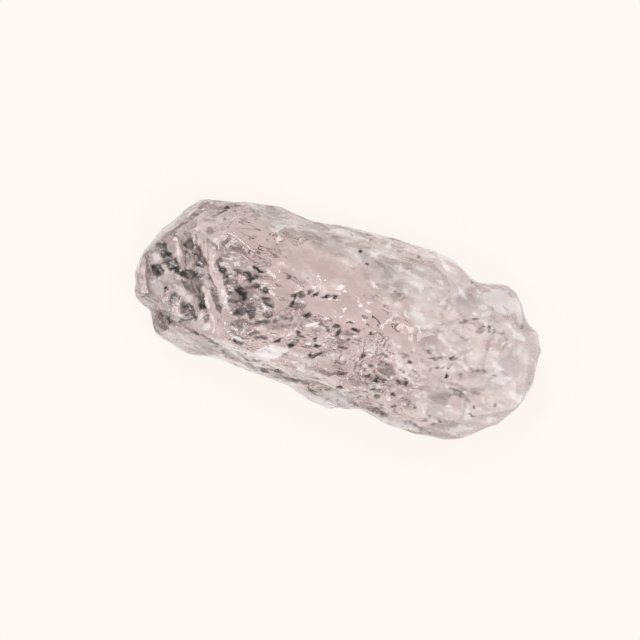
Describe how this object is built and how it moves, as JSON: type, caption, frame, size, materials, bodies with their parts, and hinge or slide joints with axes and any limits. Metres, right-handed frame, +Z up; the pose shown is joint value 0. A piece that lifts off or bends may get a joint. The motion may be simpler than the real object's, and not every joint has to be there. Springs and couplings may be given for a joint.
{
  "type": "rough morganite crystal",
  "caption": "Rough pale pink beryl: a broken crystal length with one flat resting face, a stepped break at one end and a thin other end.",
  "frame": {"origin": "middle of the bounding box, on the plane of the flat resting face", "axes": "+X along the crystal's long axis towards the thin end, +Y towards the back as the stone lies in the picture, +Z up out of the resting face"},
  "size_m": [0.029, 0.0128, 0.0091],
  "materials": {
    "rough_morganite": "clear, very pale pink crystal with a broken, unevenly polished skin"
  },
  "bodies": {
    "root": {"rough_morganite": "rough_morganite"}
  },
  "joints": []
}
